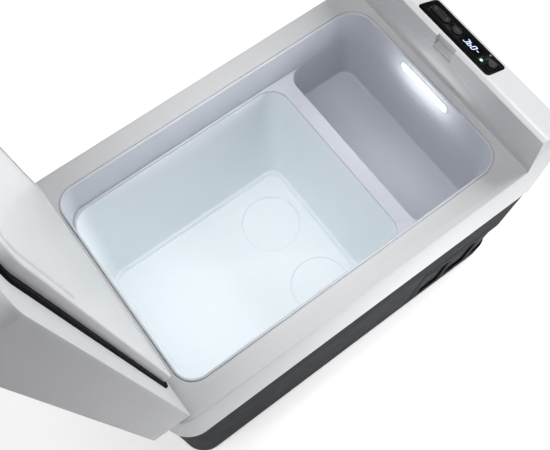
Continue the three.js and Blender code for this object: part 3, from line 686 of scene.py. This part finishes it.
def inner_frame():
    """Bead, collar, ledge, divider and side compartment, in one grey moulding."""
    outside = grow(OPEN, WALL)
    body = piece("inner_frame_moulding", loft([(outside, LEDGE_Z - 3.5), (outside, 345)], 16))
    compartment = [(grow(ring_between(SIDE, z), WALL), z) for z in (SIDE_FLOOR_Z, 250, 288)]
    compartment.insert(0, (compartment[0][0], SIDE_FLOOR_Z - WALL))
    join(body, loft(compartment, 14), bead())

    mouth = [(WALL_FOOT, LEDGE_Z), (OPEN, 346), (OPEN, 352)]
    r = 3.5
    void = [(grow(SIDE[0][0], -inset), SIDE_FLOOR_Z + r - z) for inset, z in reversed(quarter(r, r))]
    void += [(ring_between(SIDE, z), z) for z in (215, 240, 265, LEDGE_Z, 320, 347)]
    hole = [(TUB_HOLE, LEDGE_Z - 5), (TUB_HOLE, LEDGE_Z + 1)]
    crease = [(grow(WALL_FOOT, by), LEDGE_Z + up)
              for by, up in ((0.3, -1.3), (0.3, 1), (-1.2, 1), (-1.2, -1.3))]
    cut(body, loft(mouth, 16), loft(void, 14), loft(hole, 16), loft(crease, 16, wrap=True))
    cut(body, across(lens_outline(0, 0, 0, 9.9), 222, 232))
    bevel(body, 1.5, 3, 40, lambda x, y, z: 76 < x < 113 and abs(y) < 150.5 and 288.8 < z < 291)
    bevel(body, 0.8, 2, 40, lambda x, y, z: x < 70 and 288.8 < z < 291 and abs(y) < 149.5)
    done(body, "cabinet", "collar", ["inner_frame"])


def lamp_lens():
    """The light strip: a clear rim round a lit diffuser that stands just proud of it."""
    rim = piece("lamp_lens", across(lens_outline(0.4, 0.4, 0.4, 9.4), 226.3, 229.6))
    bevel(rim, 1.0, 3, 40)
    done(rim, "cabinet", "lens", ["light_lens"], "lens_rim")
    core = piece("lamp_diffuser", across(lens_outline(3.8, 2.4, 3, 7.3), 225.9, 229))
    bevel(core, 0.8, 3, 40)
    done(core, "cabinet", "lens")


# ---- tub ---------------------------------------------------------------------------------------
TUB = [((-273.8, 65.3, 134.5, 24, 24), 56), ((-279, 77.4, 148.4, 29.5, 29.5), 287.2)]    # inside walls
REST_X, REST_Y = -3.6, (53.6, -82.2)         # middles of the two round bottle rests
REST = [(0, 49), (46.9, 49), (47.8, 49.2), (48.3, 49.8), (48.6, 51.2), (49.1, 51.8), (50.1, 52.0),
        (50.1, 53), (0, 53)]                 # (radius, z) of the shallow dish that each one is


def tub():
    """The white liner: flange, tapering walls, a small step round the floor and two bottle rests."""
    flange, flange_low, flange_high = (-284, 88, 155, 35, 35), 283.7, 286.2
    inside = lambda z: ring_between(TUB, z)
    rings = [(grow(TUB[0][0], 1), 46.5), (grow(inside(flange_low), 2.5), flange_low),
             (flange, flange_low), (flange, flange_high), (grow(inside(286), 1.2), flange_high),
             (grow(inside(286), 0.3), 285.9), (inside(285), 285)]
    rings += [(inside(z), z) for z in (250, 210, 170, 130, 90, 64)]
    steps = [(0.2, 61), (0.9, 58.6), (2.2, 57.2), (4.6, 56.9), (5.4, 56.5), (5.9, 55.6), (6.2, 54),
             (6.9, 52.8), (8.4, 52.1), (10.5, TUB_FLOOR_Z)]
    rings += [(grow(inside(58), -inset), z) for inset, z in steps]
    ob = piece("tub_liner", loft(rings, 16))
    for y in REST_Y:
        cut(ob, shifted(revolve(REST, 96), REST_X, y, 0))
    done(ob, "cabinet", "tub", ["freezer_tub"], sharp=40)


# ---- control panel -----------------------------------------------------------------------------
def panel():
    """The gloss face with its openings, and the display's glass."""
    rings = [(PANEL, -2.1)] + [(grow(PANEL, -inset), z) for inset, z in quarter(0.7, 0, 4)]
    ob = piece("panel_face", loft(rings, 12))
    s0, s1, half = WINDOW
    cut(ob, box(s0, s1, WINDOW_Y - half, WINDOW_Y + half, -3, 1), *panel_holes(0.45, -4, 2))
    bevel(ob, 0.25, 2, 50, lambda x, y, z: z > -0.4)
    place_on_panel(ob)
    done(ob, "cabinet", "panel_gloss", ["control_panel"])

    glass, edge = (14.2, 35.8, 16.8, 0.6, 0.6), (14.4, 35.6, 16.6, 0.5, 0.5)
    window = piece("display_glass", loft([(glass, -2.1), (glass, -0.25), (edge, -0.05)], 3))
    place_on_panel(window, 0, WINDOW_Y)
    done(window, "cabinet", "panel_gloss", ["display_window"], "glass")


def plate(name, strokes, slot, material, body="cabinet", z0=0.0, z1=0.12):
    """Thin marks on the panel: each stroke is a run of (s, y) corner points."""
    ob = piece(name, merged(*[slab(points, z0, z1, lambda s, y, z: (s, y, z)) for points in strokes]))
    place_on_panel(ob)
    done(ob, body, slot, material=material)


def bar(a, b, width):
    """The six corner points of a straight stroke with pointed ends."""
    a, b = Vector(a), Vector(b)
    along = (b - a).normalized()
    side = Vector((-along.y, along.x)) * width / 2
    tip = along * width / 2
    return [tuple(p) for p in (a, a + tip + side, b - tip + side, b, b - tip - side, a + tip - side)]


SEGMENTS = {"-": "g", "0": "abcdef", "9": "abcfg", "C": "adef"}
RUNS = {"a": ((0, 1), (1, 1)), "b": ((1, 1), (1, 0.5)), "c": ((1, 0.5), (1, 0)), "d": ((0, 0), (1, 0)),
        "e": ((0, 0.5), (0, 0)), "f": ((0, 1), (0, 0.5)), "g": ((0, 0.5), (1, 0.5))}


def digit_strokes(text):
    """Seven-segment strokes. They read towards +Y, and the foot of a digit points down the slope."""
    y0, pitch, width, slant, s_top, s_base, stroke = -33.4, 7.2, 4.6, 1.6, 19.4, 30.2, 1.1
    strokes = []
    for index, sign in enumerate(text):
        left = y0 + pitch * index
        for key in SEGMENTS[sign]:
            ends = [(s_base - v * (s_base - s_top), left + u * width + v * slant) for u, v in RUNS[key]]
            strokes.append(bar(*ends, stroke))
    return strokes


def ring_stroke(s, y, r, width, n=40):
    """A circle drawn as short joined strokes."""
    strokes = []
    for k in range(n):
        a0, a1 = 2 * math.pi * k / n, 2 * math.pi * (k + 1) / n
        inner, outer = r - width / 2, r + width / 2
        strokes.append([(s + inner * math.cos(a0), y + inner * math.sin(a0)),
                        (s + outer * math.cos(a0), y + outer * math.sin(a0)),
                        (s + outer * math.cos(a1), y + outer * math.sin(a1)),
                        (s + inner * math.cos(a1), y + inner * math.sin(a1))])
    return strokes


def key_cap(name, body, node, key):
    """A round key with a rounded edge and a slightly dished face."""
    s, y, r = key
    side = r - 0.3
    profile = [(0, -5), (side, -5), (side, 0.2)]
    profile += [(side - inset, z) for inset, z in quarter(1.2, 1.4)]
    profile += [(r * 0.55, 1.15), (r * 0.25, 1.0), (0, 0.95)]
    cap = piece(name, revolve(profile, 56))
    place_on_panel(cap, s, y)
    done(cap, body, "button", [node])


def rocker():
    """The pill-shaped rocker and the two arrowheads on it."""
    pill = (17.3, 32.7, 16.9, 7.7, 7.7)
    rings = [(pill, -4.6), (pill, 0.2)]
    rings += [(grow(pill, -inset), z) for inset, z in quarter(1.3, 1.5)]
    rings += [(grow(pill, -4.6), 1.15), (grow(pill, -6.6), 1.0)]
    cap = piece("rocker_cap", loft(rings, 16))
    place_on_panel(cap, 0, ROCKER_Y)
    done(cap, "rocker", "button", ["rocker_button"])
    marks = []
    for runs in (((27.3, 53.2), (24.9, 55.2), (27.3, 57.2)), ((24.9, 31.0), (27.3, 33.0), (24.9, 35.0))):
        marks += [bar(a, b, 0.8) for a, b in zip(runs, runs[1:])]
    plate("rocker_marks", marks, "button", "button_mark", "rocker", 1.0, 1.5)


def controls():
    """Everything on the panel: display signs, warning mark, lamp, rocker and the two round keys."""
    plate("display_digits", digit_strokes("-09C"), "lens", "digits", z0=-0.06, z1=0.05)
    plate("warning_mark", [[(37.2, -43), (41.2, -45.2), (41.2, -40.8)]], "button", "button_mark")
    # painted glow: an emitting ring round the status lamp, for the lamp's light on the gloss
    plate("painted_lamp_glow", ring_stroke(*LAMP[:2], 3.4, 1.6, 48), "panel_gloss", "halo", z1=0.04)
    lamp = piece("status_light", revolve([(0, -4.5), (1.9, -4.5), (1.9, -0.1), (1.7, 0.25), (1.1, 0.5),
                                          (0, 0.6)], 32))
    place_on_panel(lamp, *LAMP[:2])
    done(lamp, "cabinet", "lens", ["status_lamp"], "led")
    rocker()
    key_cap("menu_cap", "menu_key", "menu_button", MENU_KEY)
    key_cap("power_cap", "power_key", "power_button", POWER_KEY)
    dots = [bar((24.0, 8.1 + 2.3 * k), (25.6, 8.1 + 2.3 * k), 1.2) for k in range(3)]
    plate("menu_marks", dots, "button", "button_mark", "menu_key", 0.9, 1.35)
    plate("power_mark", ring_stroke(*POWER_KEY[:2], 3.7, 0.9), "button", "dim_mark", "power_key", 0.9, 1.4)


# ---- lid ---------------------------------------------------------------------------------------
def open_lid(ob):
    """Turns a body that is drawn shut to the open position of the rest pose."""
    x, z = HINGE
    move_mesh(ob, Matrix.Translation((x, 0, z)) @ Matrix.Rotation(-LID_OPEN, 4, "Y")
              @ Matrix.Translation((-x, 0, -z)))


def lid_cover():
    """The lid's outer shell: a flat skirt, a rounded top edge, a shallow dome, hinge and latch pockets."""
    seat = grow(PLUG, 7)
    lean = lambda z: max(0, z - 356) / 42
    lid = lambda z: (-323 + 7 * lean(z), 240.5 - 0.4 * lean(z), 185, 4, 24)
    rings = [(grow(lid(401), -6), 402), (grow(lid(400), -3), 399), (grow(lid(357), -3), 357),
             (seat, 357), (seat, 354.2), (grow(seat, 0.3), 354), (grow(lid(354), -1.0), 354),
             (grow(lid(354), -0.3), 354.25), (lid(355), 355), (lid(358), 358), (lid(380), 380),
             (lid(398), 398)]
    x0, x1, half_width = lid(398)[:3]
    for inset, z in quarter(2.6, 404.4)[1:]:
        rings.append((grow((x0 + 0.3, x1, half_width, 4.4, 24), -inset * 0.9), z))
    rings += [((-296, 221, 166, 10, 16), 405.6), ((-263, 188.5, 135, 10, 12), 407.6)]
    ob = piece("lid_cover", loft(rings, 14))
    # A boss for each hinge bracket with its pocket and the pin's bore, then the same for the latch.
    for y in HINGE_Y:
        join(ob, box(-320.5, -296.2, y - 22, y + 22, 355.2, 384))
        pin = moved(revolve([(0, -20.6), (3.5, -20.6), (3.5, 20.6), (0, 20.6)], 24),
                    Matrix.Rotation(math.pi / 2, 4, "X"))
        cut(ob, box(-335, -299, y - 13.5, y + 13.5, 349, 381), shifted(pin, HINGE[0], y, HINGE[1]))
    join(ob, box(216.5, 239.6, -LATCH_Y - 3, LATCH_Y + 3, 361.2, 404))
    cut(ob, box(219, 246, -LATCH_Y, LATCH_Y, 364, 412))
    bevel(ob, 0.9, 3, 40, lambda x, y, z: x > 214 and abs(y) < LATCH_Y + 1 and z > 390)
    open_lid(ob)
    done(ob, "lid", "lid_light", ["lid_shell"])


def lid_liner():
    """The plug with a raised lip round its face, and a pad over the side compartment."""
    flange, flange_z = (-294, 231, 168, 30, 30), 357.5
    r, lip_top = 1.8, PLUG_Z - 1.8
    rings = [((-272.5, 218.5, 149.5, 19.5, 19.5), flange_z + 2), (flange, flange_z + 2),
             (flange, flange_z), (grow(PLUG, 0.2), flange_z), (PLUG, flange_z - 3), (PLUG, 352)]
    rings += [(grow(PLUG, -(r - r * math.cos(t))), lip_top + r - r * math.sin(t)) for t in angles(7)]
    rings += [(grow(PLUG, -7.4), lip_top), (grow(PLUG, -7.8), lip_top + 0.3),
              (grow(PLUG, -8), PLUG_Z - 0.3), (grow(PLUG, -8.4), PLUG_Z), (grow(PLUG, -20), PLUG_Z)]
    ob = piece("lid_inner_liner", loft(rings, 14))
    pad, pad_r = (87, 211.5, 142.5, 1.5, 12), 3
    pad_rings = [(grow(pad, 0.8), PLUG_Z + 1), (grow(pad, 0.3), PLUG_Z - 0.2), (pad, PLUG_Z - 0.9)]
    pad_rings += [(grow(pad, -(pad_r - pad_r * math.cos(t))), PLUG_Z - 1 - pad_r * math.sin(t))
                  for t in angles(6)]
    join(ob, loft(pad_rings, 12))
    open_lid(ob)
    done(ob, "lid", "liner", ["lid_liner"])


def lid_seal():
    """The dark gasket round the plug, with two soft ridges that meet the rim."""
    inner, outer = grow(PLUG, 0.45), grow(PLUG, 6.6)
    top, side, edge, ridge = 357, 351.8, 351.1, 350.85
    rings = [(inner, top), (inner, side), (grow(inner, 0.6), edge), (grow(inner, 2.1), ridge),
             (grow(inner, 2.8), 351.6), (grow(inner, 3.4), 351.7), (grow(outer, -1.9), ridge),
             (grow(outer, -0.6), edge), (outer, side), (outer, top)]
    ob = piece("lid_seal", loft(rings, 14, wrap=True))
    open_lid(ob)
    done(ob, "lid", "gasket", ["lid_gasket"])


# ---- feet, handles and inlets ------------------------------------------------------------------
def feet():
    """Four round rubber pads with two shallow rings in their undersides."""
    profile = [(0, -1.6), (9, -1.6), (9.6, -2.0), (10.2, -3.0), (11.0, -3.0), (11.6, -2.2), (12.4, -2.2),
               (13.0, -3.0), (15.8, -3.0), (17.2, -2.4), (17.9, -1.2), (FOOT_R, 0.4), (FOOT_R, 2), (0, 2)]
    for end, x in FOOT_X.items():
        for side, y in FOOT_Y.items():
            foot = piece(f"foot_pad_{end}_{side}", shifted(revolve(profile, 48), x, y, 0))
            done(foot, "cabinet", "rubber", [f"foot_{end}_{side}"])


def sweep(path, r):
    """A round bar along a path in one X plane, with flat ends."""
    sides = 20
    verts, faces = [], []
    for i, p in enumerate(path):
        a, b = Vector(path[max(0, i - 1)]), Vector(path[min(len(path) - 1, i + 1)])
        along = (b - a).normalized()
        out = Vector((1, 0, 0))
        side = along.cross(out)
        for k in range(sides):
            t = 2 * math.pi * k / sides
            verts.append(tuple(Vector(p) + out * r * math.cos(t) + side * r * math.sin(t)))
    for i in range(len(path) - 1):
        for k in range(sides):
            j = (k + 1) % sides
            faces.append((i * sides + k, i * sides + j, (i + 1) * sides + j, (i + 1) * sides + k))
    last = (len(path) - 1) * sides
    faces += [tuple(reversed(range(sides))), tuple(range(last, last + sides))]
    return verts, faces


HANDLE_X, HANDLE_Z = 341, (252, 304)         # middle of the bar out from the case, grip and pivots
GRIP_HALF = 60


def handles():
    """At each end, a bent aluminium bail with a ribbed foam sleeve."""
    low, high = HANDLE_Z
    bend = 8
    route = rounded([(-84, high), (-103, high), (-103, low), (103, low), (103, high), (84, high)],
                    [0, bend, bend, bend, bend, 0], 10)
    profile = [(0, -GRIP_HALF), (7.4, -GRIP_HALF), (8.6, -59.2), (9.1, -57.6)]
    for k in range(23):
        y = -55 + 5 * k
        profile += [(9.15, y - 1.6), (9.2, y + 1.2), (8.75, y + 1.9), (8.75, y + 2.5)]
    profile += [(9.1, 58.2), (8.6, 59.2), (7.4, GRIP_HALF), (0, GRIP_HALF)]
    for end, side in (("left", -1), ("right", 1)):
        x = side * HANDLE_X
        bail = piece(f"handle_bail_{end}", sweep([(x, y, z) for y, z in route], 5.4))
        bevel(bail, 0.5, 2, 50)
        done(bail, f"handle_{end}", "aluminium", [f"carry_handle_{end}"])
        sleeve = moved(revolve(profile, 40), Matrix.Rotation(-math.pi / 2, 4, "X"))
        grip = piece(f"handle_sleeve_{end}", shifted(sleeve, x, 0, low))
        done(grip, f"handle_{end}", "rubber", [f"handle_grip_{end}"], "grip")


def inlets():
    """The round low-voltage socket, the mains socket and its two pins, in the inlet's housing."""
    turn = Matrix.Rotation(math.pi / 2, 4, "Y")
    z = INLET[1]
    round_socket = [(0, 307.4), (9, 307.4), (9, 311.4), (8.5, 312), (6.6, 312), (6, 311.5), (6, 309),
                    (2.2, 309), (2.2, 310.6), (1.6, 311.2), (0, 311.2)]
    dc = piece("dc_socket", shifted(moved(revolve(round_socket, 48), turn), 0, 78, z))
    done(dc, "cabinet", "black_plastic", ["dc_inlet"])
    ac = piece("ac_socket", across(rounded(rectangle(94, 122, z - 10, z + 10), [2.5] * 4, 5), 307.4, 312))
    cut(ac, across(rounded(rectangle(98, 118, z - 6, z + 6), [3] * 4, 5), 309, 314))
    bevel(ac, 0.4, 2, 50)
    done(ac, "cabinet", "black_plastic", ["ac_inlet"])
    pin = moved(revolve([(0, 308.6), (1.2, 308.6), (1.2, 311.2), (0.8, 311.6), (0, 311.6)], 20), turn)
    done(piece("ac_pins", merged(*[shifted(pin, 0, y, z) for y in (104, 112)])), "cabinet", "steel")


for build in (lower_case, upper_case, inner_frame, lamp_lens, tub, panel, controls, lid_cover,
              lid_liner, lid_seal, feet, handles, inlets):
    build()


# ---- CAD nodes that stay on show: real finishes and softened edges -----------------------------
def finish_cad_nodes():
    """Gives each one the material of its slot, and by its name the width of its softened edges."""
    slots = {row["node"]: row["material_slot"] for row in frame["record"]["subparts"]}
    edges = {"hinge_bracket": 0.7, "latch_lever": 0.6, "vent_grille": 0.4, "inlet_housing": 0.6,
             "handle_bracket": 1.2, "hinge_pin": 0.4, "latch_strike": 0.3, "electronics": 0.8,
             "fan_frame": 0.5, "fan_rotor": 0.3}
    for name, ob in frame["nodes"].items():
        if ob.hide_render:
            continue
        ob.data.materials.clear()
        ob.data.materials.append(M[slots[name]])
        for prefix, width in edges.items():
            if name.startswith(prefix):
                step = ob.modifiers.new("soft_edges", "BEVEL")
                step.width = width * MM
                step.segments = 2
                step.limit_method = "ANGLE"
                step.angle_limit = math.radians(35)


finish_cad_nodes()


# ---- floor, light and background ---------------------------------------------------------------
FLOOR_GLOW = 0.5          # emission strength of the paper in the middle; it fades to half outwards
FLOOR_Z = -3.2            # just under the feet
FLOOR_HALF = 9000


def stage_floor():
    """White paper that is lit from below in the middle, as on a light table."""
    corners = [(x, y, FLOOR_Z) for x, y in rectangle(-FLOOR_HALF, FLOOR_HALF, -FLOOR_HALF, FLOOR_HALF)]
    ob = piece("floor", (corners, [(0, 1, 2, 3)]))
    material, tree, shader = tree_of("floor_paper")
    varied_color(tree, shader, (0.90, 0.90, 0.91), 2, 0.005)
    shader.inputs["Roughness"].default_value = 0.9
    shader.inputs["Specular IOR Level"].default_value = 0.1
    shader.inputs["Emission Color"].default_value = (1, 1, 1, 1)
    place = tree.nodes.new("ShaderNodeTexCoord")
    reach = tree.nodes.new("ShaderNodeVectorMath")
    reach.operation = "LENGTH"
    fade = tree.nodes.new("ShaderNodeMapRange")
    fade.interpolation_type = "SMOOTHSTEP"
    fade.inputs["From Min"].default_value = 0.75
    fade.inputs["From Max"].default_value = 2.2
    fade.inputs["To Min"].default_value = FLOOR_GLOW
    fade.inputs["To Max"].default_value = 0.5 * FLOOR_GLOW
    tree.links.new(place.outputs["Object"], reach.inputs[0])
    tree.links.new(reach.outputs["Value"], fade.inputs["Value"])
    tree.links.new(fade.outputs["Result"], shader.inputs["Emission Strength"])
    ob.data.materials.append(material)


def light(kind, name, place, target, power, color=(1, 1, 1)):
    """A light at a place in metres, aimed at the target."""
    data = bpy.data.lights.new(name, kind)
    data.energy = power
    data.color = color
    ob = bpy.data.objects.new(name, data)
    bpy.context.scene.collection.objects.link(ob)
    ob.location = place
    ob.rotation_mode = "QUATERNION"
    ob.rotation_quaternion = (Vector(target) - Vector(place)).to_track_quat("-Z", "Y")
    return data


def area(name, place, target, size, power):
    """A soft box of size (wide, high)."""
    data = light("AREA", name, place, target, power)
    data.shape = "RECTANGLE"
    data.size, data.size_y = size


def spot(name, place, target, power, angle, radius, color=(1, 1, 1)):
    """A spot with a cone of the angle in degrees and a soft edge."""
    data = light("SPOT", name, place, target, power, color)
    data.spot_size = math.radians(angle)
    data.spot_blend = 0.8
    data.shadow_soft_size = radius


def light_scene():
    """A big light to the right, weaker ones round it, two spots for the band and the tub, and the two
    that stand for the light strip's own glow."""
    scene = bpy.context.scene
    scene.view_settings.view_transform = "Standard"
    world = bpy.data.worlds.new("studio")
    scene.world = world
    world.use_nodes = True
    back = world.node_tree.nodes["Background"]
    back.inputs["Color"].default_value = (0.95, 0.97, 1.0, 1)
    back.inputs["Strength"].default_value = 0.03
    area("overhead", (0.15, 0, 2.3), (0.1, 0, 0.3), (1.2, 1.2), 2.5)
    area("key", (1.55, -0.12, 1.45), (-0.1, 0, 0.4), (0.9, 1.0), 30)
    area("behind", (0.1, 1.4, 1.5), (0.1, 0, 0.3), (1.4, 0.8), 6)
    area("left_top", (-0.8, -0.1, 2.15), (0, 0, 0.3), (0.4, 1.2), 15)
    area("front", (0.5, -0.85, 0.12), (0.15, 0, 0.25), (0.9, 0.2), 1.5)
    spot("band_light", (0.25, -1.3, 0.45), (0.04, -0.19, 0.2), 40, 30, 0.2)
    spot("tub_light", (-0.08, -0.02, 2.4), (-0.08, 0, 0.06), 80, 11.5, 0.12, (1.0, 0.99, 0.985))
    area("lamp", (0.2255, -0.001, 0.332), (0, -0.001, 0.33), (0.1, 0.016), 0.06)
    area("lamp_glow", (0.195, -0.001, 0.322), (0.2268, -0.001, 0.332), (0.1, 0.012), 0.028)


stage_floor()
light_scene()
